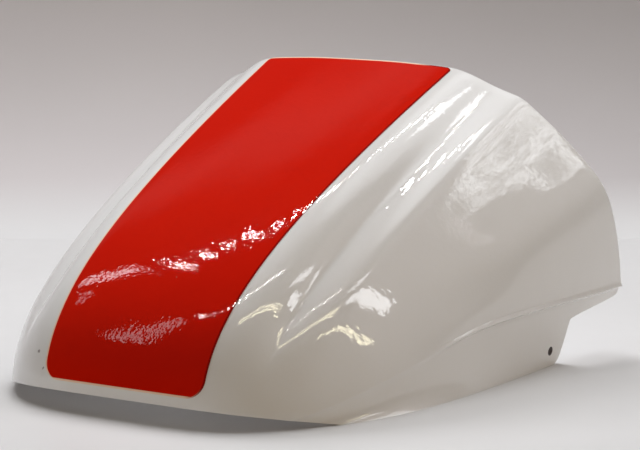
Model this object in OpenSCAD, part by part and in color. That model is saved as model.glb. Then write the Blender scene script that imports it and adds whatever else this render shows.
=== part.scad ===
// Rear seat cowl of a motorbike: one thin glossy moulding that covers the pillion seat,
// with a broad stripe film down its raised centre band.
// Sizes are in millimetres. The tail points to -Y and the open front rim to +Y.
// The origin is on the table, under the middle of the part.

/* [Overall size] */
// Distance from the tail lip to the crest of the front rim
crest_y = 263; // [235:1:290]
// Height of the crest above the table
crest_h = 186.5; // [170:0.5:205]
// Distance from the tail lip to the front end of the flanks, in the middle of their height
flank_y = 335; // [315:1:355]
// Width across the flanks at the table
foot_w = 292; // [270:1:315]
// How far each flank stands out past its foot at the front rim
flank_bulge = 16.5; // [8:0.5:24]
// Thickness of the moulded wall
wall = 3; // [2:0.1:4]

/* [Tail] */
// Width between the rear corners, where the lip comes down to the table
corner_w = 234; // [215:1:250]
// Distance from the tail lip forward to those corners
corner_y = 53; // [40:1:65]
// Distance over which the flanks widen from the corners to the full width
corner_run = 50; // [35:1:70]
// Height of the middle of the tail lip above the table
lip_rise = 11; // [6:0.5:18]
// Height over which the tail rises steeply before it bends forward
tail_pull = 55; // [40:1:75]
// Forward lean of the tail at the lip, in degrees
tail_lean = 2; // [0:0.5:12]

/* [Top] */
// Length over which the top runs straight back from the crest
top_pull = 199; // [160:1:215]
// Slope of the top at the crest, in degrees
top_slope = 22.5; // [18:0.5:26]
// How far the front rim bows forward between crest and foot
rim_bow = 12.5; // [0:0.5:20]
// Radius of the roll that ends the front rim
rim_roll = 3.5; // [3:0.1:6]

/* [Groove and shoulder] */
// Distance of the groove from the middle at the tail
groove_x_tail = 84; // [78:0.5:90]
// Distance of the groove from the middle at the front rim
groove_x_rim = 95.5; // [90:0.5:100]
// Depth of the groove half way up the back
groove_depth = 6; // [2:0.5:9]
// Depth of the groove at the front rim
groove_depth_rim = 2; // [0:0.5:4]
// Width of the slope from the centre band down to the groove
band_slope_w = 26; // [18:1:34]
// Width of the slope from the groove up to the shoulder
shoulder_slope_w = 16; // [10:1:24]
// Height of the crisp ridge along the shoulder
shoulder_ridge = 1.5; // [0:0.1:3]
// Height of the soft edges of the centre band
band_edge = 1.5; // [0:0.1:3]
// Height of the hip that swells the flank towards the rim
hip_swell = 5; // [0:0.5:8]

/* [Lower flange] */
// Height of the crease above the table
crease_h = 42; // [36:0.5:50]
// How far the flange steps in under the crease
flange_step = 3.5; // [3.5:0.5:8]
// How far the flank rolls in above the crease
crease_roll = 3; // [1:0.5:3]
// Distance from the tail lip to the front edge of the foot
foot_front = 268; // [255:1:285]
// Height of the tongue that runs forward over the cut-out
tongue_h = 31.7; // [29:0.1:33]
// Height over which the cut-out sweeps from the foot to the tongue
cutout_sweep = 9.5; // [7:0.5:12]
// Radius of the lower front corner of the foot
foot_corner_r = 6; // [3:0.5:9]

/* [Screw holes] */
// Diameter of the screw hole in each foot
hole_d = 5.5; // [4.5:0.1:7]
// Height of the hole above the table
hole_h = 10; // [9:0.5:16]
// Distance from the front edge of the foot back to the hole
hole_setback = 11.5; // [10:0.5:24]

/* [Stripe film] */
// Width of the stripe at the tail
stripe_w_tail = 113; // [90:1:125]
// Width of the stripe at the front rim
stripe_w_rim = 139; // [110:1:150]
// Distance from the tail lip up the tail to the stripe's lower edge
stripe_margin = 6; // [4:0.5:15]
// Radius of the stripe's lower corners
stripe_corner_tail = 11; // [4:0.5:16]
// Radius of the stripe's upper corners
stripe_corner_rim = 4; // [2:0.5:8]
// Thickness of the film
film_t = 0.3; // [0.2:0.05:0.6]
// Gap between the film and the moulding's facets
film_gap = 0.15; // [0.1:0.05:0.3]

/* [Hidden] */

// The back is swept by stations v, from 0 at the tail lip to 1 at the front rim.
// Across each station a runs from 0 on the middle line to 1 at the table.
groove_a = 0.4;
crease_a = 0.78;
half_foot = foot_w / 2;
half_corner = corner_w / 2;

// Shape numbers of the stations: at the tail lip, half way, and at the front rim
square_across = [4.3, 3.85, 3.25];
square_up = [1, 2.2, 2.75];
station_bend = [1, 2.4, 1.25];
// How quickly the foot of the station runs forward with v
flank_spread = 0.9;
// The crease keeps its height until the station is too low for it
crease_share = 0.5;
crease_turn = 8;
// Stretch of stations over which the crease grows crisp
crisp_start = 0.2;
crisp_run = 0.35;
// Share of the flange's height taken by its step under the crease
step_share = 0.06;
// Forward lean of the foot's front edge, and the tongue's distance from the flank's end
foot_lean = 0.3;
tongue_setback = 3;
// Stretches of stations over which the groove, shoulder, band edge and hip rise
groove_start = 0.1;
groove_run = 0.25;
shoulder_run = 0.3;
band_run = 0.5;
hip_start = 0.45;
hip_run = 0.5;
// Softness of the groove's line at the tail, and what it gains at the rim
groove_soft = 0.05;
groove_soft_rim = 0.25;
// Share of its width that the groove has at the tail, and the stations over which it widens
groove_narrow = 0.4;
narrow_run = 0.55;
// Half widths of the shoulder's ridge and of the band's edge, and their shift off the slopes
shoulder_half = 7;
shoulder_shift = 1;
band_half = 16;
band_shift = 2;
// Place and width of the hip across the station
hip_a = 0.65;
hip_width = 0.06;
// Where the flank starts to roll in above the crease
tuck_a = 0.7;
// Steps between the neighbouring points that give a surface's direction
probe = 0.001;
lip_probe = 0.004;

function ease(t) = let (u = min(1, max(0, t))) u * u * (3 - 2 * u);
function bell(t) = exp(-t * t);
function through(v, k) = k[0] * (1 - v) * (1 - 2 * v) + 4 * k[1] * v * (1 - v) + k[2] * v * (2 * v - 1);
function unit(p) = p / norm(p);
function blend(a, b, t) = a * (1 - t) + b * t;

// Middle line of the back as [y, z], a curve from the lip to the crest
function back_line(v) =
    let (
        p0 = [0, lip_rise],
        p1 = p0 + tail_pull * [sin(tail_lean), cos(tail_lean)],
        p3 = [crest_y, crest_h],
        p2 = p3 - top_pull * [cos(top_slope), sin(top_slope)]
    )
    pow(1 - v, 3) * p0 + 3 * v * pow(1 - v, 2) * p1 + 3 * v * v * (1 - v) * p2 + pow(v, 3) * p3;

// Foot of the station on the table
function foot_y(v) = corner_y + (flank_y - corner_y) * pow(v, flank_spread);
function foot_x(y) = half_foot - (half_foot - half_corner) * exp(-(y - corner_y) / corner_run);
function half_w(v) = foot_x(foot_y(v)) + flank_bulge * v;
function groove_x(v) = groove_x_tail + (groove_x_rim - groove_x_tail) * v;

// Share of the station's height at which the crease lies
function crease_g(v) =
    pow(
        pow(crease_h / back_line(v)[1], -crease_turn) + pow(crease_share, -crease_turn),
        -1 / crease_turn
    );

// A point of the station at the share g of its height, at the given distance from the middle
function station_point(v, x, g) =
    let (back = back_line(v))
    [
        x,
        foot_y(v) + (back[0] - foot_y(v)) * pow(g, through(v, station_bend))
            + rim_bow * 4 * g * (1 - g) * pow(v, 3),
        back[1] * g
    ];

// Angles at which a station's arch meets a distance from the middle, or a share of its height
function angle_at_x(v, x) =
    asin(pow(min(1, x / half_w(v)), through(v, square_across) / 2));
function angle_at_g(v, g) = acos(pow(g, through(v, square_up) / 2));

// The smooth arch above the crease, and the flange under it
function arch(v, angle) =
    station_point(
        v,
        half_w(v) * pow(sin(angle), 2 / through(v, square_across)),
        pow(cos(angle), 2 / through(v, square_up))
    );
function crisp(v) = ease((v - crisp_start) / crisp_run);
function flange(v, f) =
    let (
        top_x = half_w(v) * pow(sin(angle_at_g(v, crease_g(v))), 2 / through(v, square_across)),
        foot = foot_x(foot_y(v)),
        x = top_x + (foot - top_x) * f - flange_step * crisp(v) * min(1, f / step_share) * (1 - f)
    )
    station_point(v, x, crease_g(v) * (1 - f));

// Front edge of the flange in side view: foot, cut-out and tongue
function cutout_y(z) =
    let (edge = foot_front + foot_lean * z)
    edge
    - foot_corner_r * (1 - sqrt(1 - pow(1 - min(1, z / foot_corner_r), 2)))
    + (flank_y - tongue_setback - edge) * ease((z - tongue_h) / cutout_sweep + 0.5);
function flange_reach(f) =
    let (end_y = flange(1, f)[1])
    f <= 0 ? 1
    : pow(min(1, (cutout_y(crease_h * (1 - f)) - corner_y) / (end_y - corner_y)), 1 / flank_spread);

// The plain surface, before its groove, ridges and hip
function plain(v, a) =
    a <= groove_a ? arch(v, angle_at_x(v, groove_x(v) * a / groove_a))
    : a <= crease_a ?
        let (
            low = angle_at_x(v, groove_x(v)),
            high = angle_at_g(v, crease_g(v))
        )
        arch(v, low + (high - low) * (a - groove_a) / (crease_a - groove_a))
    : let (f = (a - crease_a) / (1 - crease_a)) flange(v * flange_reach(f), f);

// Height of the groove, ridges and hip over the plain surface
function relief(v, a, x) =
    let (
        t = x - groove_x(v),
        depth = 4 * v * (1 - v) * groove_depth * ease((v - groove_start) / groove_run)
            + groove_depth_rim * v * v,
        wide = blend(groove_narrow, 1, ease(v / narrow_run)),
        slope = (t < 0 ? -t / band_slope_w : t / shoulder_slope_w) / wide,
        soft = groove_soft + groove_soft_rim * v * v,
        valley = wide * pow(1 - min(1, sqrt(slope * slope + soft * soft)), 2),
        ridge = shoulder_ridge * bell((t - shoulder_slope_w - shoulder_shift) / shoulder_half)
            * ease(v / shoulder_run),
        edge = band_edge * bell((t + band_slope_w - band_shift) / band_half) * ease(v / band_run),
        hip = hip_swell * bell((a - hip_a) / hip_width) * ease((v - hip_start) / hip_run),
        tuck = crease_roll * pow(max(0, (a - tuck_a) / (crease_a - tuck_a)), 2) * crisp(v)
    )
    a > crease_a ? 0 : ridge + edge + hip - tuck - depth * valley;

// Outward normal of the plain surface, from neighbouring points kept inside its edges. It is
// level at the lip and the foot, so that the wall's lower edges stay on the table.
function normal(v, a) =
    let (
        v0 = min(1 - probe, max(lip_probe, v - probe)),
        v1 = min(1, max(lip_probe + probe, v + probe)),
        a0 = min(1 - 2 * probe, max(0, a - probe)),
        a1 = min(1 - probe, max(probe, a + probe)),
        n = cross(plain(v, a1) - plain(v, a0), plain(v1, a) - plain(v0, a))
    )
    unit(a >= 1 || v <= 0 ? [n[0], n[1], 0] : n);

// Surface point at a height over the plain surface, and never under the table
function lifted(v, a, n, h) =
    let (
        base = plain(v, a),
        p = base + n * (relief(v, a, base[0]) + h)
    )
    [p[0], p[1], max(0, p[2])];
function mirrored(p, side) = [side * p[0], p[1], p[2]];
function skin_point(v, s, h) =
    let (a = abs(s))
    mirrored(lifted(v, a, normal(v, a), h), s < 0 ? -1 : 1);

// Front rim: above the crease the wall turns forward and inward by the angle, and the flange
// below ends in a plain trimmed edge
trim_step = 0.004;
function rim_point(s, angle, h) =
    let (
        a = abs(s),
        n = normal(1, a),
        run = unit(plain(1, a) - plain(1 - probe, a)),
        p = lifted(1, a, n, 0),
        rolled = p - n * rim_roll + (n * cos(angle) + run * sin(angle)) * (rim_roll + h),
        trimmed = p + n * h + run * trim_step * angle
    )
    mirrored(blend(rolled, trimmed, ease((a - tuck_a) / (crease_a - tuck_a))), s < 0 ? -1 : 1);

// Stations along the back, closer together at the tail
stations = 30;
tail_density = 0.55;
station_v = [for (i = [0 : stations]) let (t = i / stations) blend(t, t * t, tail_density)];
// Rows across one half: band, shoulder with flank, flange
band_rows = [for (i = [0 : 7]) groove_a * i / 8];
groove_rows = [0.955 * groove_a, groove_a, 1.045 * groove_a];
flank_rows = [for (i = [1 : 13]) groove_a + (crease_a - groove_a) * (i + 0.4) / 13.4];
flange_f = [0.06, 0.14, 0.2, 0.25, 0.3, 0.36, 0.6, 0.87, 0.96, 1];
flange_rows = [for (f = flange_f) crease_a + (1 - crease_a) * f];
half_rows = concat(band_rows, groove_rows, flank_rows, flange_rows);
half_count = len(half_rows);
rows = concat([for (i = [half_count - 1 : -1 : 1]) -half_rows[i]], half_rows);

// One closed loop of the wall at a row: outside to the rim, round the roll, back inside
roll_angles = [35, 70, 105];
function wall_loop(s) = concat(
    [for (v = station_v) skin_point(v, s, 0)],
    [for (g = roll_angles) rim_point(s, g, 0)],
    [for (i = [len(roll_angles) - 1 : -1 : 0]) rim_point(s, roll_angles[i], -wall)],
    [for (i = [stations : -1 : 0]) skin_point(station_v[i], s, -wall)]
);

// The part is moved so that its box is centred on the origin in plan
reach_y = [for (s = rows, g = roll_angles) rim_point(s, g, 0)[1]];
centre_y = max(reach_y) / 2;

// Closes a list of equal loops into a solid; the end loops are closed by a strip of quads
module skin_solid(loops) {
    n = len(loops[0]);
    m = len(loops);
    sides = [
        for (i = [0 : m - 2], j = [0 : n - 1])
            let (k = (j + 1) % n)
            [i * n + j, i * n + k, (i + 1) * n + k, (i + 1) * n + j]
    ];
    ends = [
        for (j = [0 : n / 2 - 2])
            each [
                [n - 1 - j, n - 2 - j, j + 1, j],
                [
                    (m - 1) * n + j, (m - 1) * n + j + 1,
                    (m - 1) * n + n - 2 - j, (m - 1) * n + n - 1 - j
                ]
            ]
    ];
    polyhedron([for (loop = loops) each loop], concat(sides, ends), convexity = 6);
}

hole_y = foot_front - hole_setback;
drill_run = 60;

module screw_hole(side) {
    translate([side * half_foot, hole_y, hole_h])
        rotate([0, 90, 0])
            cylinder(d = hole_d, h = drill_run, center = true, $fn = 48);
}

module cowl_shell() {
    color("whitesmoke")
        translate([0, -centre_y, 0])
            difference() {
                skin_solid([for (s = rows) wall_loop(s)]);
                screw_hole(1);
                screw_hole(-1);
            }
}

// The film lies on the same surface, from its start on the tail to the front rim. Lengths along
// the back turn into stations by the curve's run per station at the lip and at the crest.
lip_run = 3 * tail_pull;
crest_run = 3 * top_pull;
film_start = stripe_margin / lip_run;
corner_low = stripe_corner_tail / lip_run;
corner_high = stripe_corner_rim / crest_run;
film_v = concat(
    [for (g = [0 : 22.5 : 90]) film_start + corner_low * (1 - cos(g))],
    [for (v = station_v) if (v > film_start + 1.1 * corner_low && v < 1 - 1.5 * corner_high) v],
    [for (g = [90 : -30 : 0]) 1 - corner_high * (1 - cos(g))]
);
film_columns = 6;

// How far a rounded corner draws the edge in, at a distance from the film's end
function corner_inset(d, r) = d >= r ? 0 : r - sqrt(r * r - (r - d) * (r - d));
function film_half_w(v) =
    blend(stripe_w_tail, stripe_w_rim, back_line(v)[0] / crest_y) / 2
    - corner_inset((v - film_start) * lip_run, stripe_corner_tail)
    - corner_inset((1 - v) * crest_run, stripe_corner_rim);
function film_point(v, c, h) = skin_point(v, groove_a * c * film_half_w(v) / groove_x(v), h);
function film_loop(c) = concat(
    [for (v = film_v) film_point(v, c, film_gap + film_t)],
    [for (i = [len(film_v) - 1 : -1 : 0]) film_point(film_v[i], c, film_gap)]
);

module stripe_film() {
    color("red")
        translate([0, -centre_y, 0])
            skin_solid([for (i = [-film_columns : film_columns]) film_loop(i / film_columns)]);
}

cowl_shell();
stripe_film();
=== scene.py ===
import math

import bmesh
import bpy
import numpy as np
from mathutils import Matrix, Vector


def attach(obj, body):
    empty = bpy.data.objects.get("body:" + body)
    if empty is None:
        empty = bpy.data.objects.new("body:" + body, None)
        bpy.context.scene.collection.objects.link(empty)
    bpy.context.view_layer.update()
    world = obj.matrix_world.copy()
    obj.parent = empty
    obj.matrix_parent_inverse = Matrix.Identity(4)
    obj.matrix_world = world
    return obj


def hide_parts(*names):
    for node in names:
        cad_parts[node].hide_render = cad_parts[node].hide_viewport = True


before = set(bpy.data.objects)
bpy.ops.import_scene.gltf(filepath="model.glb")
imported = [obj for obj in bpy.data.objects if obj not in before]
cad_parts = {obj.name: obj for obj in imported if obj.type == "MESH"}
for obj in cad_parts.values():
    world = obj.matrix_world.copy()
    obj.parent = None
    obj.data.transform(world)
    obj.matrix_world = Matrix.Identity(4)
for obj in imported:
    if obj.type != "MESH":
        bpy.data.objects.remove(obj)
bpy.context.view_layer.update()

MM = 0.001

# Shape values in millimetres, the same as the source's
CREST_Y, CREST_H = 263.0, 186.5
FLANK_Y, FOOT_W, FLANK_BULGE, WALL = 335.0, 292.0, 16.5, 3.0
CORNER_W, CORNER_Y, CORNER_RUN = 234.0, 53.0, 50.0
LIP_RISE, TAIL_PULL, TAIL_LEAN = 11.0, 55.0, 2.0
TOP_PULL, TOP_SLOPE, RIM_BOW, RIM_ROLL = 199.0, 22.5, 12.5, 3.5
GROOVE_X_TAIL, GROOVE_X_RIM = 84.0, 95.5
GROOVE_DEPTH, GROOVE_DEPTH_RIM = 6.0, 2.0
BAND_SLOPE_W, SHOULDER_SLOPE_W = 26.0, 16.0
SHOULDER_RIDGE, BAND_EDGE, HIP_SWELL = 1.5, 1.5, 5.0
CREASE_H, FLANGE_STEP, CREASE_ROLL = 42.0, 3.5, 3.0
FOOT_FRONT, TONGUE_H, CUTOUT_SWEEP, FOOT_CORNER_R = 268.0, 31.7, 9.5, 6.0
HOLE_D, HOLE_H, HOLE_SETBACK = 5.5, 10.0, 11.5
STRIPE_W_TAIL, STRIPE_W_RIM, STRIPE_MARGIN = 113.0, 139.0, 6.0
STRIPE_CORNER_TAIL, STRIPE_CORNER_RIM = 11.0, 4.0

GROOVE_A, CREASE_A = 0.4, 0.78
SQUARE_ACROSS = (4.3, 3.85, 3.25)
SQUARE_UP = (1.0, 2.2, 2.75)
STATION_BEND = (1.0, 2.4, 1.25)
FLANK_SPREAD = 0.9
CREASE_SHARE, CREASE_TURN = 0.5, 8.0
CRISP_START, CRISP_RUN = 0.2, 0.35
STEP_SHARE, FOOT_LEAN, TONGUE_SETBACK = 0.06, 0.3, 3.0
GROOVE_START, GROOVE_RUN, SHOULDER_RUN, BAND_RUN = 0.1, 0.25, 0.3, 0.5
GROOVE_NARROW, NARROW_RUN = 0.4, 0.55
HIP_START, HIP_RUN = 0.45, 0.5
GROOVE_SOFT, GROOVE_SOFT_RIM = 0.05, 0.25
SHOULDER_HALF, SHOULDER_SHIFT, BAND_HALF, BAND_SHIFT = 7.0, 1.0, 16.0, 2.0
HIP_A, HIP_WIDTH, TUCK_A = 0.65, 0.06, 0.7
PROBE, LIP_PROBE, TRIM_STEP = 0.001, 0.004, 0.004

# Height of the film's faces over the moulding
FILM_UNDER, FILM_OVER = 0.03, 0.3


def ease(t):
    u = np.clip(t, 0, 1)
    return u * u * (3 - 2 * u)


def bell(t):
    return np.exp(-t * t)


def through(v, k):
    return k[0] * (1 - v) * (1 - 2 * v) + 4 * k[1] * v * (1 - v) + k[2] * v * (2 * v - 1)


def unit(p):
    return p / np.linalg.norm(p, axis=-1, keepdims=True)


def back_line(v):
    """Middle line of the back as y and z, a curve from the lip to the crest."""
    lean, slope = math.radians(TAIL_LEAN), math.radians(TOP_SLOPE)
    p0 = np.array([0, LIP_RISE])
    p1 = p0 + TAIL_PULL * np.array([math.sin(lean), math.cos(lean)])
    p3 = np.array([CREST_Y, CREST_H])
    p2 = p3 - TOP_PULL * np.array([math.cos(slope), math.sin(slope)])
    w = ((1 - v) ** 3, 3 * v * (1 - v) ** 2, 3 * v * v * (1 - v), v**3)
    y, z = (sum(w[i] * p[k] for i, p in enumerate((p0, p1, p2, p3))) for k in (0, 1))
    return y, z


def foot_y(v):
    return CORNER_Y + (FLANK_Y - CORNER_Y) * np.power(np.maximum(v, 0), FLANK_SPREAD)


def foot_x(y):
    return FOOT_W / 2 - (FOOT_W - CORNER_W) / 2 * np.exp(-(y - CORNER_Y) / CORNER_RUN)


def half_w(v):
    return foot_x(foot_y(v)) + FLANK_BULGE * v


def groove_x(v):
    return GROOVE_X_TAIL + (GROOVE_X_RIM - GROOVE_X_TAIL) * v


def crease_g(v):
    share = CREASE_H / back_line(v)[1]
    return (share**-CREASE_TURN + CREASE_SHARE**-CREASE_TURN) ** (-1 / CREASE_TURN)


def station_point(v, x, g):
    y, z = back_line(v)
    fy = foot_y(v)
    up = np.power(g, through(v, STATION_BEND))
    return np.stack([x, fy + (y - fy) * up + RIM_BOW * 4 * g * (1 - g) * v**3, z * g], -1)


def angle_at_x(v, x):
    return np.arcsin(np.minimum(1, x / half_w(v)) ** (through(v, SQUARE_ACROSS) / 2))


def angle_at_g(v, g):
    return np.arccos(np.clip(g ** (through(v, SQUARE_UP) / 2), 0, 1))


def arch(v, angle):
    across = half_w(v) * np.maximum(np.sin(angle), 0) ** (2 / through(v, SQUARE_ACROSS))
    up = np.maximum(np.cos(angle), 0) ** (2 / through(v, SQUARE_UP))
    return station_point(v, across, up)


def crisp(v):
    return ease((v - CRISP_START) / CRISP_RUN)


def flange(v, f):
    g = crease_g(v)
    top_x = half_w(v) * np.sin(angle_at_g(v, g)) ** (2 / through(v, SQUARE_ACROSS))
    foot = foot_x(foot_y(v))
    step = FLANGE_STEP * crisp(v) * np.minimum(1, f / STEP_SHARE) * (1 - f)
    return station_point(v, top_x + (foot - top_x) * f - step, g * (1 - f))


def cutout_y(z):
    edge = FOOT_FRONT + FOOT_LEAN * z
    corner = 1 - np.minimum(1, z / FOOT_CORNER_R)
    rounding = FOOT_CORNER_R * (1 - np.sqrt(1 - corner * corner))
    sweep = ease((z - TONGUE_H) / CUTOUT_SWEEP + 0.5)
    return edge - rounding + (FLANK_Y - TONGUE_SETBACK - edge) * sweep


def flange_reach(f):
    end_y = flange(np.ones_like(f), f)[..., 1]
    share = (cutout_y(CREASE_H * (1 - f)) - CORNER_Y) / (end_y - CORNER_Y)
    return np.where(f <= 0, 1, np.minimum(1, share) ** (1 / FLANK_SPREAD))


def plain(v, a):
    """The surface before its groove, ridges and hip."""
    v, a = np.broadcast_arrays(np.asarray(v, float), np.asarray(a, float))
    low = angle_at_x(v, groove_x(v))
    high = angle_at_g(v, crease_g(v))
    near = angle_at_x(v, groove_x(v) * np.minimum(a, GROOVE_A) / GROOVE_A)
    far = low + (high - low) * np.clip((a - GROOVE_A) / (CREASE_A - GROOVE_A), 0, 1)
    upper = arch(v, np.where(a <= GROOVE_A, near, far))
    f = np.clip((a - CREASE_A) / (1 - CREASE_A), 0, 1)
    lower = flange(v * flange_reach(f), f)
    return np.where((a > CREASE_A)[..., None], lower, upper)


def relief(v, a, x):
    """Height of the groove, ridges and hip over the plain surface."""
    t = x - groove_x(v)
    depth = 4 * v * (1 - v) * GROOVE_DEPTH * ease((v - GROOVE_START) / GROOVE_RUN)
    depth = depth + GROOVE_DEPTH_RIM * v * v
    wide = GROOVE_NARROW + (1 - GROOVE_NARROW) * ease(v / NARROW_RUN)
    slope = np.where(t < 0, -t / BAND_SLOPE_W, t / SHOULDER_SLOPE_W) / wide
    soft = GROOVE_SOFT + GROOVE_SOFT_RIM * v * v
    valley = wide * (1 - np.minimum(1, np.sqrt(slope * slope + soft * soft))) ** 2
    ridge = SHOULDER_RIDGE * bell((t - SHOULDER_SLOPE_W - SHOULDER_SHIFT) / SHOULDER_HALF)
    edge = BAND_EDGE * bell((t + BAND_SLOPE_W - BAND_SHIFT) / BAND_HALF)
    hip = HIP_SWELL * bell((a - HIP_A) / HIP_WIDTH) * ease((v - HIP_START) / HIP_RUN)
    tuck = CREASE_ROLL * np.maximum(0, (a - TUCK_A) / (CREASE_A - TUCK_A)) ** 2 * crisp(v)
    rise = ridge * ease(v / SHOULDER_RUN) + edge * ease(v / BAND_RUN) + hip - tuck
    return np.where(a > CREASE_A, 0, rise - depth * valley)


def normal(v, a):
    v, a = np.broadcast_arrays(np.asarray(v, float), np.asarray(a, float))
    v0 = np.minimum(1 - PROBE, np.maximum(LIP_PROBE, v - PROBE))
    v1 = np.minimum(1, np.maximum(LIP_PROBE + PROBE, v + PROBE))
    a0 = np.minimum(1 - 2 * PROBE, np.maximum(0, a - PROBE))
    a1 = np.minimum(1 - PROBE, np.maximum(PROBE, a + PROBE))
    n = np.cross(plain(v, a1) - plain(v, a0), plain(v1, a) - plain(v0, a))
    level = (a >= 1) | (v <= 0)
    n[..., 2] = np.where(level, 0, n[..., 2])
    return unit(n)


def lifted(v, a, n, h):
    v, a = np.broadcast_arrays(np.asarray(v, float), np.asarray(a, float))
    base = plain(v, a)
    p = base + n * (relief(v, a, base[..., 0]) + h)[..., None]
    p[..., 2] = np.maximum(0, p[..., 2])
    return p


def mirrored(p, s):
    return p * np.stack([np.where(s < 0, -1.0, 1.0), np.ones_like(s), np.ones_like(s)], -1)


def skin_point(v, s, h):
    v, s = np.broadcast_arrays(np.asarray(v, float), np.asarray(s, float))
    a = np.abs(s)
    return mirrored(lifted(v, a, normal(v, a), h), s)


def rim_point(s, degrees, h):
    """Front rim: rolled above the crease, and a plain trimmed edge below it."""
    a = np.abs(s)
    one = np.ones_like(a)
    n = normal(one, a)
    run = unit(plain(one, a) - plain(one - PROBE, a))
    p = lifted(one, a, n, 0)
    t = math.radians(degrees)
    rolled = p - n * RIM_ROLL + (n * math.cos(t) + run * math.sin(t)) * (RIM_ROLL + h)
    trimmed = p + n * h + run * TRIM_STEP * degrees
    share = ease((a - TUCK_A) / (CREASE_A - TUCK_A))[..., None]
    return mirrored(rolled * (1 - share) + trimmed * share, s)


def both_halves(half):
    return np.concatenate([-half[:0:-1], half])


# Rows of the mesh across one half, as start, end and count: above the crease, with more at the
# groove, then below it, with more at the step. The last rows crowd toward the foot's edge.
FOOT_SHARE, FOOT_ROWS, FOOT_CROWD = 0.14, 8, 1.6
UPPER_ROWS = [(0, 0.355, 34), (0.355, 0.465, 26), (0.465, TUCK_A, 26), (TUCK_A, CREASE_A, 12)]
LOWER_ROWS = [(0, STEP_SHARE, 3), (STEP_SHARE, 0.14, 4), (0.14, 0.4, 20), (0.4, 1 - FOOT_SHARE, 12)]

# Steps of the rim's roll in degrees, here and in the source, and the stations from tail to rim
ROLL_ANGLES = np.linspace(13, 105, 8)
SOURCE_ROLL_ANGLES = (35, 70, 105)
STATIONS, TAIL_CROWD = 120, 0.5


def spans(parts):
    return [np.linspace(lo, hi, n, endpoint=False) for lo, hi, n in parts]


def half_rows():
    foot = 1 - FOOT_SHARE * np.linspace(1, 0, FOOT_ROWS) ** FOOT_CROWD
    below = np.concatenate(spans(LOWER_ROWS) + [foot])
    return np.concatenate(spans(UPPER_ROWS) + [CREASE_A + (1 - CREASE_A) * below])


def station_values():
    t = np.linspace(0, 1, STATIONS + 1)
    return (1 - TAIL_CROWD) * t + TAIL_CROWD * t * t


def centre_y():
    """Half of the moulding's length, which the frame puts at its middle."""
    rows = both_halves(half_rows())
    return max(rim_point(rows, d, 0)[..., 1].max() for d in SOURCE_ROLL_ANGLES) / 2


CENTRE_Y = centre_y()


def grid_mesh(name, loops):
    """Closes loops of equal length, outside points first, into one solid."""
    m, n = loops.shape[:2]
    points = (loops - np.array([0, CENTRE_Y, 0])) * MM
    faces = []
    for i in range(m - 1):
        for j in range(n):
            k = (j + 1) % n
            faces.append((i * n + j, (i + 1) * n + j, (i + 1) * n + k, i * n + k))
    last = (m - 1) * n
    for j in range(n // 2 - 1):
        faces.append((j, j + 1, n - 2 - j, n - 1 - j))
        faces.append((last + n - 1 - j, last + n - 2 - j, last + j + 1, last + j))
    mesh = bpy.data.meshes.new(name)
    mesh.from_pydata([tuple(p) for p in points.reshape(-1, 3)], [], faces)
    mesh.update()
    obj = bpy.data.objects.new(name, mesh)
    bpy.context.scene.collection.objects.link(obj)
    return obj


def shell_loops():
    s = both_halves(half_rows())[:, None]
    v = station_values()[None, :]
    outside = skin_point(v, s, 0)
    inside = skin_point(v[:, ::-1], s, -WALL)
    roll_out = [rim_point(s[:, 0], d, 0)[:, None] for d in ROLL_ANGLES]
    roll_in = [rim_point(s[:, 0], d, -WALL)[:, None] for d in ROLL_ANGLES[::-1]]
    return np.concatenate([outside] + roll_out + roll_in + [inside], axis=1)


# Length that a whole station value stands for at the lip and at the crest
LIP_RUN, CREST_RUN = 3 * TAIL_PULL, 3 * TOP_PULL
FILM_START = STRIPE_MARGIN / LIP_RUN

# Mesh of the film: steps round a corner, rows between the corners, how far past a corner they
# begin and end, columns between its edges, and the close columns at an edge
CORNER_STEPS, FILM_ROWS, FILM_COLUMNS = 14, 150, 77
PAST_TAIL_CORNER, PAST_RIM_CORNER = 1.06, 1.3
EDGE_COLUMNS = np.array([1.0, 0.996, 0.99, 0.98])
INNER_COLUMN = 0.97


def corner_inset(d, r):
    d = np.clip(d, 0, r)
    return r - np.sqrt(r * r - (r - d) ** 2)


def film_half_w(v):
    share = back_line(v)[0] / CREST_Y
    half = (STRIPE_W_TAIL * (1 - share) + STRIPE_W_RIM * share) / 2
    low = corner_inset((v - FILM_START) * LIP_RUN, STRIPE_CORNER_TAIL)
    return half - low - corner_inset((1 - v) * CREST_RUN, STRIPE_CORNER_RIM)


def film_loops():
    """The film's loops, and the distance of each point from the film's cut edge."""
    low, high = STRIPE_CORNER_TAIL / LIP_RUN, STRIPE_CORNER_RIM / CREST_RUN
    corner = 1 - np.cos(np.radians(np.linspace(0, 90, CORNER_STEPS)))
    v = np.concatenate([
        FILM_START + low * corner,
        np.linspace(FILM_START + PAST_TAIL_CORNER * low, 1 - PAST_RIM_CORNER * high, FILM_ROWS),
        1 - high * corner[::-1],
    ])
    inner = np.linspace(-INNER_COLUMN, INNER_COLUMN, FILM_COLUMNS)
    c = np.concatenate([-EDGE_COLUMNS, inner, EDGE_COLUMNS[::-1]])[:, None]
    s = GROOVE_A * c * (film_half_w(v) / groove_x(v))[None, :]
    over = skin_point(v[None, :], s, FILM_OVER)
    under = skin_point(v[None, ::-1], s[:, ::-1], FILM_UNDER)
    from_end = np.minimum((v - FILM_START) * LIP_RUN, (1 - v) * CREST_RUN)
    from_edge = np.minimum(film_half_w(v)[None, :] * (1 - np.abs(c)), from_end[None, :])
    edge = np.concatenate([from_edge, from_edge[:, ::-1]], axis=1)
    return np.concatenate([over, under], axis=1), edge


# Rounding of the moulding's cut edges, and the angles that it and the smooth shading start at
EDGE_ROUND, BEVEL_STEPS, BEVEL_ANGLE, SMOOTH_ANGLE = 0.55, 3, 42, 40
DRILL_FACETS, DRILL_LENGTH = 48, 30


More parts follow.
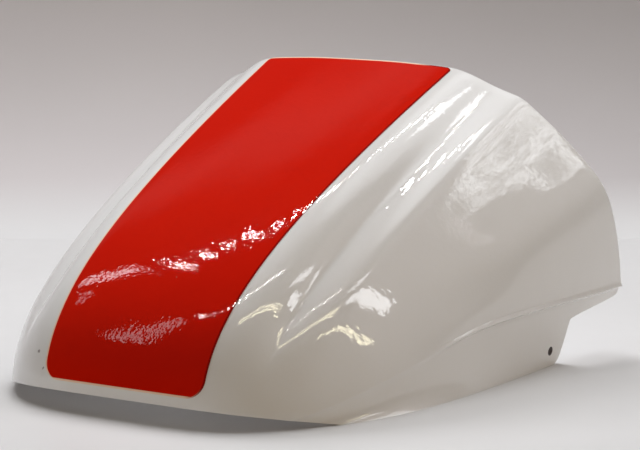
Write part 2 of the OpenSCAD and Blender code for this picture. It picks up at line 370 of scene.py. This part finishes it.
def applied(obj):
    """Bakes the object's modifiers into its mesh."""
    graph = bpy.context.evaluated_depsgraph_get()
    mesh = bpy.data.meshes.new_from_object(obj.evaluated_get(graph))
    obj.modifiers.clear()
    obj.data = mesh


def smooth(obj, angle):
    mesh = obj.data
    mesh.shade_smooth()
    mesh.set_sharp_from_angle(angle=math.radians(angle))


def bevel(obj, width, angle):
    mod = obj.modifiers.new("round", "BEVEL")
    mod.width, mod.segments = width * MM, BEVEL_STEPS
    mod.limit_method, mod.angle_limit = "ANGLE", math.radians(angle)
    mod.harden_normals = False


def drill(obj):
    """Cuts the screw hole through each foot."""
    y = (FOOT_FRONT - HOLE_SETBACK - CENTRE_Y) * MM
    radius = HOLE_D / 2 * MM
    across = Matrix.Rotation(math.pi / 2, 4, "Y")
    for side in (-1, 1):
        bm = bmesh.new()
        place = Matrix.Translation((side * FOOT_W / 2 * MM, y, HOLE_H * MM))
        bmesh.ops.create_cone(
            bm, cap_ends=True, segments=DRILL_FACETS, radius1=radius, radius2=radius,
            depth=DRILL_LENGTH * MM, matrix=place @ across)
        mesh = bpy.data.meshes.new("drill")
        bm.to_mesh(mesh)
        bm.free()
        tool = bpy.data.objects.new("drill", mesh)
        bpy.context.scene.collection.objects.link(tool)
        mod = obj.modifiers.new("hole", "BOOLEAN")
        mod.operation, mod.solver, mod.object = "DIFFERENCE", "EXACT", tool
        applied(obj)
        bpy.data.objects.remove(tool, do_unlink=True)


# Materials


# Part of a noise's range that its middle tones fill
MIDDLE = (0.3, 0.7)


def shaded(color, share):
    return tuple(share * c for c in color)


class Nodes:
    """Short calls for the node tree of a material or of the world."""

    def __init__(self, owner, kind="Material"):
        owner.use_nodes = True
        self.owner, self.tree = owner, owner.node_tree
        self.tree.nodes.clear()
        self.out = self.tree.nodes.new("ShaderNodeOutput" + kind).inputs["Surface"]

    def add(self, kind, values=None, **fields):
        node = self.tree.nodes.new(kind)
        for key, value in fields.items():
            setattr(node, key, value)
        for key, value in (values or {}).items():
            node.inputs[key].default_value = value
        return node

    def link(self, a, b):
        self.tree.links.new(a, b)

    def noise(self, where, scale, detail, rough=0.5):
        node = self.add("ShaderNodeTexNoise", {"Scale": scale, "Detail": detail, "Roughness": rough})
        self.link(where, node.inputs["Vector"])
        return node.outputs["Fac"]

    def ramp(self, value, low, high, out_low=0.0, out_high=1.0):
        node = self.add("ShaderNodeMapRange", {
            "From Min": low, "From Max": high, "To Min": out_low, "To Max": out_high})
        self.link(value, node.inputs["Value"])
        return node.outputs["Result"]

    def reach(self, direction, low, high):
        """Share from 0 to 1 of the way between two distances along a direction."""
        node = self.add("ShaderNodeVectorMath", operation="DOT_PRODUCT")
        self.link(self.add("ShaderNodeTexCoord").outputs["Object"], node.inputs[0])
        node.inputs[1].default_value = direction
        return self.ramp(node.outputs["Value"], low, high)

    def near(self, where, place, radius):
        """Share from 0 to 1 toward a place on the surface, in mm, with an uneven edge."""
        node = self.add("ShaderNodeVectorMath", operation="DISTANCE")
        self.link(where, node.inputs[0])
        node.inputs[1].default_value = Vector(place) * MM
        jitter = 0.5 * radius * MM
        uneven = self.ramp(self.noise(where, NICK_NOISE, 2), *MIDDLE, -jitter, jitter)
        away = self.math("ADD", node.outputs["Value"], uneven)
        return self.ramp(away, radius * MM, 0.6 * radius * MM)

    def math(self, kind, a, b):
        node = self.add("ShaderNodeMath", operation=kind)
        for socket, value in zip(node.inputs, (a, b)):
            if isinstance(value, (int, float)):
                socket.default_value = value
            else:
                self.link(value, socket)
        return node.outputs[0]

    def mix(self, factor, a, b):
        node = self.add("ShaderNodeMix", data_type="RGBA")
        for name, value in (("Factor", factor), ("A", a), ("B", b)):
            socket = [s for s in node.inputs if s.name == name and s.enabled][-1]
            if isinstance(value, tuple):
                socket.default_value = (*value, 1)
            else:
                self.link(value, socket)
        return [s for s in node.outputs if s.enabled][0]

    def bump(self, height, strength, distance, under=None):
        node = self.add("ShaderNodeBump", {"Strength": strength, "Distance": distance})
        self.link(height, node.inputs["Height"])
        if under is not None:
            self.link(under, node.inputs["Normal"])
        return node.outputs["Normal"]

    def surface(self, color, roughness, normal, **fixed):
        bsdf = self.add("ShaderNodeBsdfPrincipled")
        self.link(color, bsdf.inputs["Base Color"])
        self.link(roughness, bsdf.inputs["Roughness"])
        self.link(normal, bsdf.inputs["Normal"])
        for key, value in fixed.items():
            bsdf.inputs[key.replace("_", " ")].default_value = value
        self.link(bsdf.outputs[0], self.out)
        return bsdf


# Colours of the moulding, its dust and nicks, and the painted shade in a screw hole
WHITE, WHITE_CLOUDED = (0.82, 0.815, 0.81), (0.79, 0.78, 0.775)
DUST_COLOR, DUST_SHARE = (0.35, 0.32, 0.29), 0.35
NICK_COLOR, BORE_SHADE, BORE_SHADE_SPREAD = (0.38, 0.35, 0.35), (0.13, 0.11, 0.11), 1.12

# Scales of the noise in the colours: clouds, specks of dust, the patches they lie in, and nicks
WHITE_CLOUDS, RED_CLOUDS, DUST_SPECKS, DUST_PATCHES, NICK_NOISE = 9, 12, 900, 30, 700
SPECK_RANGE, PATCH_RANGE = (0.68, 0.78), (0.5, 0.75)

# Places and radii of the nicks
NICKS = [((-64.7, -157.7, 30.4), 1.3), ((-58.1, -162.3, 21.9), 0.9)]

# Colours of the film, of the painted highlight along its far and lower edges, and of the painted
# shade along its near edge
RED, RED_CLOUDED = (0.62, 0.0085, 0.0002), (0.59, 0.0070, 0.0002)
FILM_EDGE_HIGHLIGHT, FILM_EDGE_SHADE = (0.92, 0.68, 0.50), (0.26, 0.002, 0.001)
EDGE_INNER, EDGE_OUTER = 1.3, 0.9
SHADED_EDGE_X = (0.045, 0.055)

# Gloss: range of roughness, scale and detail of the scuffs in it, and their part of the noise's
# range, then scale, strength and height of long waves and of fine peel
ROUGHNESS, WHITE_SCUFFS, FILM_SCUFFS, SCUFF_RANGE = (0.02, 0.05), (60, 6), (70, 5), (0.35, 0.75)
SCUFF_ROUGH = 0.7
WAVE, WHITE_PEEL, FILM_PEEL = (60, 0.12, 0.0006), (300, 0.12, 0.0003), (380, 0.2, 0.0003)


def gloss(n, where, scuffs, peel):
    """Roughness and normal of a glossy surface."""
    scuff = n.noise(where, *scuffs, SCUFF_ROUGH)
    normal = None
    for scale, strength, height in (WAVE, peel):
        normal = n.bump(n.noise(where, scale, 1), strength, height, normal)
    return n.ramp(scuff, *SCUFF_RANGE, *ROUGHNESS), normal


def from_hole(n, where):
    """Distance from the line through both screw holes."""
    bore = n.add("ShaderNodeVectorMath", operation="MULTIPLY_ADD")
    n.link(where, bore.inputs[0])
    hole = Vector((0, FOOT_FRONT - HOLE_SETBACK - CENTRE_Y, HOLE_H)) * MM
    bore.inputs[1].default_value, bore.inputs[2].default_value = (0, 1, 1), -hole
    length = n.add("ShaderNodeVectorMath", operation="LENGTH")
    n.link(bore.outputs[0], length.inputs[0])
    return length.outputs["Value"]


def white_paint():
    n = Nodes(bpy.data.materials.new("white_gloss"))
    where = n.add("ShaderNodeTexCoord").outputs["Object"]
    color = n.mix(n.ramp(n.noise(where, WHITE_CLOUDS, 3), *MIDDLE), WHITE, WHITE_CLOUDED)
    speck = n.ramp(n.noise(where, DUST_SPECKS, 2), *SPECK_RANGE)
    dust = n.math("MULTIPLY", speck, n.ramp(n.noise(where, DUST_PATCHES, 2), *PATCH_RANGE))
    color = n.mix(n.math("MULTIPLY", dust, DUST_SHARE), color, DUST_COLOR)
    for place, radius in NICKS:
        color = n.mix(n.near(where, place, radius), color, NICK_COLOR)
    # Painted shade on the wall of each screw hole
    bore_r = HOLE_D / 2 * MM
    color = n.mix(n.ramp(from_hole(n, where), BORE_SHADE_SPREAD * bore_r, bore_r), color, BORE_SHADE)
    n.surface(color, *gloss(n, where, WHITE_SCUFFS, WHITE_PEEL), IOR=1.5)
    return n.owner


def red_film():
    n = Nodes(bpy.data.materials.new("red_film"))
    where = n.add("ShaderNodeTexCoord").outputs["Object"]
    color = n.mix(n.ramp(n.noise(where, RED_CLOUDS, 3), *MIDDLE), RED, RED_CLOUDED)
    from_edge = n.add("ShaderNodeAttribute", attribute_name="from_edge").outputs["Fac"]
    split = n.add("ShaderNodeSeparateXYZ")
    n.link(where, split.inputs[0])
    # Painted highlight along the film's far and lower edges, and painted shade along its near edge
    edge_light_and_shade = n.mix(n.ramp(split.outputs["X"], *SHADED_EDGE_X), FILM_EDGE_HIGHLIGHT, FILM_EDGE_SHADE)
    color = n.mix(n.ramp(from_edge, EDGE_INNER, EDGE_OUTER), color, edge_light_and_shade)
    n.surface(color, *gloss(n, where, FILM_SCUFFS, FILM_PEEL), IOR=1.4, Specular_IOR_Level=0.4)
    return n.owner


# Object

shell = grid_mesh("cowl_moulding", shell_loops())
drill(shell)
bevel(shell, EDGE_ROUND, BEVEL_ANGLE)
applied(shell)
smooth(shell, SMOOTH_ANGLE)
shell.data.materials.clear()
shell.data.materials.append(white_paint())
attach(shell, "root")
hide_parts("cowl_shell")

film_points, film_edge = film_loops()
film = grid_mesh("stripe", film_points)
from_edge = film.data.attributes.new("from_edge", "FLOAT", "POINT")
from_edge.data.foreach_set("value", film_edge.ravel().astype(np.float32))
smooth(film, SMOOTH_ANGLE)
film.data.materials.clear()
film.data.materials.append(red_film())
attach(film, "root")
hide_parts("stripe_film")


# Stage

AZIMUTH, ELEVATION = math.radians(32), math.radians(8.9)
RIGHT = Vector((math.cos(AZIMUTH), math.sin(AZIMUTH), 0))
BACK = Vector((math.sin(AZIMUTH), -math.cos(AZIMUTH), 0))


def staged(x, y, z):
    """A place in the room: x to the camera's right, y away from it, z up."""
    p = RIGHT * x - BACK * y
    return Vector((p.x, p.y, z))


def sheet_of(name, profile, material):
    """A stage surface drawn along a profile of y and z, from one side to the other."""
    mesh = bpy.data.meshes.new(name)
    sides = (-STAGE_REACH, STAGE_REACH)
    points = [tuple(staged(x, y, z)) for y, z in profile for x in sides]
    quads = [(2 * i, 2 * i + 1, 2 * i + 3, 2 * i + 2) for i in range(len(profile) - 1)]
    mesh.from_pydata(points, [], quads)
    mesh.update()
    mesh.shade_smooth()
    obj = bpy.data.objects.new(name, mesh)
    bpy.context.scene.collection.objects.link(obj)
    obj.data.materials.append(material)


TABLE_COLOR, WALL_COLOR = (0.64, 0.635, 0.635), (0.48, 0.452, 0.455)
# The table's colour darkened as painted shade, used toward the backdrop and at the backdrop's foot
TABLE_SHADE_COLOR = shaded(TABLE_COLOR, 0.78)
# Shares of random darker tone on the table and backdrop, and of painted shade on the backdrop's
# right side
TABLE_TONE, WALL_TONE, WALL_SIDE_SHADE = 0.975, 0.97, 0.8
TABLE_ROUGHNESS, WALL_ROUGHNESS = (0.42, 0.5), (0.7, 0.8)

# Metres: where painted shade darkens the table and the backdrop, the table's reach each way, the
# curve up to the backdrop, and the backdrop's top
TABLE_SHADE_START, WALL_SHADE_RANGE, FOOT_FADE = 0.1, (-0.1, 0.4), (0.0, 0.03)
STAGE_REACH, TABLE_MIDDLE, UNDER_TABLE = 7, -1, -0.001
SWEEP_START, SWEEP_RADIUS, BACKDROP_TOP = 0.5, 0.45, 0.5


def table_material():
    """A pale top with painted shade that darkens it a little toward the backdrop."""
    n = Nodes(bpy.data.materials.new("table_top"))
    where = n.add("ShaderNodeTexCoord").outputs["Object"]
    tone = n.ramp(n.noise(where, 4, 2), *MIDDLE)
    color = n.mix(tone, TABLE_COLOR, shaded(TABLE_COLOR, TABLE_TONE))
    # Painted shade darkening the table toward the backdrop
    color = n.mix(n.reach(-BACK, TABLE_SHADE_START, SWEEP_START), color, TABLE_SHADE_COLOR)
    flat = n.bump(n.noise(where, 250, 2), 0.03, 0.0002)
    n.surface(color, n.ramp(n.noise(where, 20, 2), *MIDDLE, *TABLE_ROUGHNESS), flat)
    return n.owner


def backdrop_material():
    """Pale at its foot and grey above, with painted shade toward its right, and open to what looks
    at it from behind.
    """
    n = Nodes(bpy.data.materials.new("backdrop_grey"))
    where = n.add("ShaderNodeTexCoord").outputs["Object"]
    split = n.add("ShaderNodeSeparateXYZ")
    n.link(where, split.inputs[0])
    tone = n.ramp(n.noise(where, 3, 2), *MIDDLE)
    wall = n.mix(tone, WALL_COLOR, shaded(WALL_COLOR, WALL_TONE))
    # Painted shade darkening the backdrop toward its right side
    wall = n.mix(n.reach(RIGHT, *WALL_SHADE_RANGE), wall, shaded(WALL_COLOR, WALL_SIDE_SHADE))
    # The backdrop's foot takes the table's colour with its painted shade
    color = n.mix(n.ramp(split.outputs["Z"], *FOOT_FADE), TABLE_SHADE_COLOR, wall)
    flat = n.bump(n.noise(where, 150, 2), 0.03, 0.0002)
    bsdf = n.surface(color, n.ramp(tone, 0, 1, *WALL_ROUGHNESS), flat)
    choose = n.add("ShaderNodeMixShader")
    n.link(n.add("ShaderNodeNewGeometry").outputs["Backfacing"], choose.inputs[0])
    n.link(bsdf.outputs[0], choose.inputs[1])
    n.link(n.add("ShaderNodeBsdfTransparent").outputs[0], choose.inputs[2])
    n.link(choose.outputs[0], n.out)
    return n.owner


turn = [math.radians(d) for d in range(0, 91, 6)]
sweep = [(SWEEP_START + SWEEP_RADIUS * math.sin(a), SWEEP_RADIUS * (1 - math.cos(a))) for a in turn]
near_part = [(-STAGE_REACH, 0), (TABLE_MIDDLE, 0), (SWEEP_START, 0)]
far_part = [(SWEEP_START, UNDER_TABLE), (STAGE_REACH, UNDER_TABLE)]
sheet_of("table", near_part, table_material())
sheet_of("backdrop", sweep + [(sweep[-1][0], BACKDROP_TOP)], backdrop_material())
sheet_of("table_beyond", far_part, table_material())


# Light

ROOM_H = 2.2
SPOT = Vector((0, 0, 0.1))
DOT_COLOR, DOT_RADIANCE = (1.0, 0.98, 0.95), 80
TUBE_COLOR, TUBE_RADIANCE, TUBE_WIDTH = (1.0, 0.92, 0.62), 16, 0.03
COOL, ROSE = (0.97, 0.98, 1.0), (1.0, 0.93, 0.95)


def sight(azimuth, elevation):
    """Direction at an angle to the right of straight away, and a height."""
    a, e = math.radians(azimuth), math.radians(elevation)
    return staged(math.sin(a) * math.cos(e), math.cos(a) * math.cos(e), math.sin(e))


def toward(azimuth, elevation, distance):
    return SPOT + sight(azimuth, elevation) * distance


# Lamps that shine: name, place, size, radiance and colour
SHINING = [
    ("key", staged(-0.5, 1.5, 2.0), (1.3, 0.9), 10.8, (0.98, 0.98, 1.0)),
    ("top", staged(0.4, 0.9, ROOM_H), (1.2, 1.2), 6.9, (0.97, 0.98, 1.0)),
    ("side", toward(120, 60, 2.4), (0.8, 0.8), 0.3, (1.0, 0.96, 0.94)),
    ("left", toward(-95, 15, 2.6), (0.8, 0.8), 4.6, (0.98, 0.98, 1.0)),
    ("front", toward(170, 9, 2.8), (1.8, 0.5), 1.5, (1.0, 0.60, 0.04)),
]

# Rows of round lamps on the ceiling: name, count, start, end, size, and bow away at the middle
DOT_ROWS = [
    ("dot_far", 9, (-1.15, 0.88), (-0.10, 0.84), 0.045, 0.2),
    ("dot_right", 7, (0.03, 0.76), (0.85, 0.68), 0.045, 0),
    ("dot_near", 16, (-1.43, -0.05), (0.62, -0.38), 0.04, 0),
]

# Tubes on the ceiling, one at each depth: name, start, its shift nearer, end and its shift
TUBE_DEPTHS = (-0.79, -0.86)
TUBE_RUNS = [("tube", -0.65, 0, 1.6, 0.15), ("tube_right", 1.75, 0.6, 4.2, 0.65)]

# Pale panels that mirror as streaks: name, start, end, width, radiance and colour
PANELS = [
    ("panel_right", (1.70, -0.72, 1.85), (2.33, -0.43, 1.08), 0.10, 9.0, COOL),
    ("panel_mid", (1.40, -0.63, 2.09), (1.78, -0.47, 1.83), 0.09, 7.0, COOL),
    ("panel_streak", (2.22, 0.01, 1.44), (2.41, 0.01, 1.10), 0.010, 5.0, ROSE),
    ("panel_top", (1.10, 0.54, 2.37), (1.01, 0.76, 2.38), 0.12, 7.0, COOL),
    ("panel_left_far", (-1.66, 0.80, 1.82), (-1.23, 0.81, 2.10), 0.06, 12.0, COOL),
    ("panel_left_low", (-1.80, 0.47, 1.82), (-1.60, 0.63, 1.93), 0.04, 6.0, COOL),
    ("panel_left", (-2.02, -0.45, 1.60), (-1.55, -0.01, 2.06), 0.07, 4.5, COOL),
]


def area(name, place, size, radiance, color, shape="RECTANGLE", shines=True):
    """A lamp of a given brightness per area. One that shines lights the object softly and
    doesn't mirror in it, and the others only mirror in it."""
    light = bpy.data.lights.new(name, "AREA")
    light.shape = shape
    light.size = size[0]
    if shape == "RECTANGLE":
        light.size_y = size[1]
    surface = size[0] * size[1] * (math.pi / 4 if shape == "DISK" else 1)
    light.energy, light.color = radiance * surface * math.pi, color
    obj = bpy.data.objects.new(name, light)
    bpy.context.scene.collection.objects.link(obj)
    obj.location = place
    obj.rotation_euler = (SPOT - place).to_track_quat("-Z", "Y").to_euler()
    obj.visible_camera = False
    obj.visible_glossy, obj.visible_diffuse = not shines, shines
    return obj


def dot_row(name, count, start, end, size, bow):
    start, end = staged(*start, ROOM_H), staged(*end, ROOM_H)
    for i in range(count):
        share = i / (count - 1)
        place = start.lerp(end, share) + staged(0, 4 * bow * share * (1 - share), 0)
        area(f"{name}_{i}", place, (size, size), DOT_RADIANCE, DOT_COLOR, "DISK", shines=False)


def strip(name, start, end, width, radiance, color):
    """A long narrow lamp that mirrors between two places, its face turned to the object."""
    start, end = staged(*start), staged(*end)
    middle, run = (start + end) / 2, end - start
    obj = area(name, middle, (run.length, width), radiance, color, shines=False)
    out = (middle - SPOT).normalized()
    along = (run - out * run.dot(out)).normalized()
    turned = Matrix((along, out.cross(along), out)).transposed()
    obj.rotation_euler = turned.to_euler()


def tubes():
    for i, deep in enumerate(TUBE_DEPTHS):
        for name, start, start_shift, end, end_shift in TUBE_RUNS:
            places = (start, deep - start_shift, ROOM_H), (end, deep - end_shift, ROOM_H)
            strip(f"{name}_{i}", *places, TUBE_WIDTH, TUBE_RADIANCE, TUBE_COLOR)


for lamp in SHINING:
    area(*lamp)
for row in DOT_ROWS:
    dot_row(*row)
tubes()
for panel in PANELS:
    strip(*panel)


# The room seen from the object. A frame's corners are azimuths and elevations.
ROOM_LOW, ROOM_HIGH = (0.022, 0.017, 0.011), (0.065, 0.064, 0.062)
WARM_SIDE, BAND_GLOW = (0.09, 0.052, 0.006), (0.17, 0.16, 0.15)
WALL_FRAME, WALL_BLUR = [(48, 50), (104, 50), (104, -3), (48, -3)], 0.015
WALL_GLOW = (0.62, 0.565, 0.585)
WINDOW_FRAME, WINDOW_BLUR = [(75, 54), (87.5, 30.5), (74, 27), (66, 34), (60, 50)], 0.008
WINDOW_GLOW = (6.8, 7.0, 7.1)
LEAF_SCALE, LEAF_DETAIL, LEAF_ROUGH, LEAF_RANGE, LEAF_SHADE = 60, 5, 0.75, (0.45, 0.57), 0.1
HIGH_LAMP, HIGH_GLOW = (48, 62), (2.4, 2.5, 2.6)


def room_light():
    """Dim walls, warm light from the camera's side, a soft band over the far side, a pale wall
    and a window with leaves before it."""
    world = bpy.data.worlds.new("room")
    bpy.context.scene.world = world
    n = Nodes(world, "World")
    where = n.add("ShaderNodeTexCoord").outputs["Generated"]

    def along(direction):
        node = n.add("ShaderNodeVectorMath", operation="DOT_PRODUCT")
        n.link(where, node.inputs[0])
        node.inputs[1].default_value = direction.normalized()
        return node.outputs["Value"]

    def soft(value, low, high):
        node = n.add("ShaderNodeMapRange", {"From Min": low, "From Max": high},
                     interpolation_type="SMOOTHSTEP")
        n.link(value, node.inputs["Value"])
        return node.outputs["Result"]

    def both(a, b):
        return n.math("MULTIPLY", a, b)

    def added(under, share, color):
        node = n.add("ShaderNodeMix", data_type="RGBA", blend_type="ADD", clamp_result=False)
        factor, a, b = [s for s in node.inputs if s.enabled]
        n.link(share, factor)
        n.link(under, a)
        b.default_value = (*color, 1)
        return [s for s in node.outputs if s.enabled][0]

    def framed(corners, blur):
        """Inside of a frame seen in the room."""
        share = None
        for first, second in zip(corners, corners[1:] + corners[:1]):
            edge = soft(along(sight(*first).cross(sight(*second))), -blur, blur)
            share = edge if share is None else both(share, edge)
        return share

    up = along(Vector((0, 0, 1)))
    color = n.mix(soft(up, -0.1, 0.9), ROOM_LOW, ROOM_HIGH)
    color = added(color, soft(along(staged(0.5, -1, 0.5)), 0.2, 1.0), WARM_SIDE)
    sideways = along(staged(1, 0, 0))
    ends = both(soft(sideways, -0.75, -0.45), soft(sideways, 0.3, 0.1))
    over = n.math("ABSOLUTE", along(staged(0, -1, 0.95)), 0)
    color = added(color, both(soft(over, 0.10, 0.0), ends), BAND_GLOW)
    wall = both(framed(WALL_FRAME, WALL_BLUR), soft(up, 0.05, 0.5))
    color = added(color, wall, WALL_GLOW)
    leaves = n.ramp(n.noise(where, LEAF_SCALE, LEAF_DETAIL, LEAF_ROUGH), *LEAF_RANGE, LEAF_SHADE)
    color = added(color, both(framed(WINDOW_FRAME, WINDOW_BLUR), leaves), WINDOW_GLOW)
    color = added(color, soft(along(sight(*HIGH_LAMP)), 0.95, 0.99), HIGH_GLOW)
    background = n.add("ShaderNodeBackground", {"Strength": 1.0})
    n.link(color, background.inputs["Color"])
    n.link(background.outputs[0], n.out)


room_light()


# Camera

PHOTO_W, FOCAL_PIXELS, SENSOR_W = 640, 2500, 36
CLIP_NEAR, CLIP_FAR = 0.05, 30
CAMERA_PLACE = Vector((0.8407, -1.1275, 0.3317))

cam_data = bpy.data.cameras.new("camera")
cam_data.sensor_width = SENSOR_W
cam_data.lens = FOCAL_PIXELS / PHOTO_W * SENSOR_W
cam_data.clip_start, cam_data.clip_end = CLIP_NEAR, CLIP_FAR
camera = bpy.data.objects.new("camera", cam_data)
bpy.context.scene.collection.objects.link(camera)
camera.location = CAMERA_PLACE - Vector((0, CENTRE_Y * MM, 0))
away = BACK * math.cos(ELEVATION) + Vector((0, 0, math.sin(ELEVATION)))
camera.rotation_euler = (-away).to_track_quat("-Z", "Y").to_euler()
bpy.context.scene.camera = camera

bpy.context.scene.view_settings.view_transform = "Standard"
